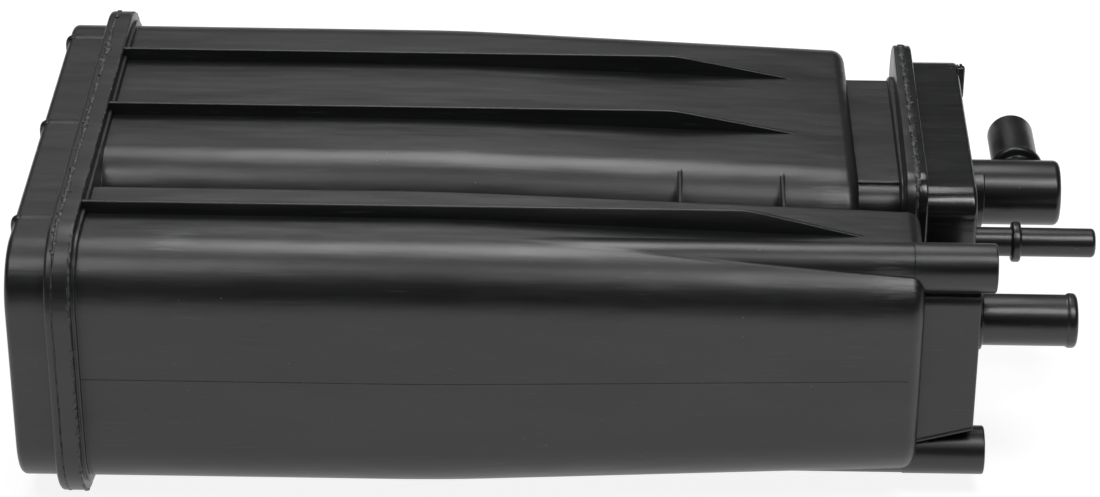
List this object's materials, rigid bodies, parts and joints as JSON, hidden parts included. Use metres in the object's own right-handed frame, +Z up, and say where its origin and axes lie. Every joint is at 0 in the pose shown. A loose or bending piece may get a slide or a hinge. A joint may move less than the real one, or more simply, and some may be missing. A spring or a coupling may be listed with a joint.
{
  "type": "charcoal canister",
  "caption": "Two-lobe moulded vapour canister with welded end and port covers, hose nipples and bosses; carbon beds between felts, grids and sprung plates inside.",
  "frame": {"origin": "under the middle of the whole object, on the surface it lies on", "axes": "+X along the housing from the end cover to the ports, +Y from the narrow lobe to the wide lobe, +Z up as it lies"},
  "size_m": [0.3432, 0.184, 0.0949],
  "materials": {
    "black_nylon": "satin moulded black nylon",
    "activated_carbon": "dull packed pellets",
    "polyester_felt": "needled felt",
    "natural_nylon": "moulded natural nylon",
    "spring_steel": "drawn wire",
    "brass": "turned"
  },
  "bodies": {
    "root": {"main_housing": "black_nylon", "end_cover": "black_nylon", "port_cover": "black_nylon", "hose_nipple": "black_nylon", "main_carbon_bed": "activated_carbon", "vent_carbon_bed": "activated_carbon", "main_cover_felt": "polyester_felt", "main_port_felt": "polyester_felt", "vent_cover_felt": "polyester_felt", "vent_port_felt": "polyester_felt", "purge_port_felt": "polyester_felt", "tank_port_felt": "polyester_felt", "main_retainer_plate": "natural_nylon", "vent_retainer_plate": "natural_nylon", "main_port_grid": "natural_nylon", "vent_port_grid": "natural_nylon", "main_plate_spring_1": "spring_steel", "main_plate_spring_2": "spring_steel", "vent_plate_spring_1": "spring_steel", "vent_plate_spring_2": "spring_steel", "upper_boss_insert": "brass", "lower_boss_insert": "brass"}
  },
  "joints": []
}
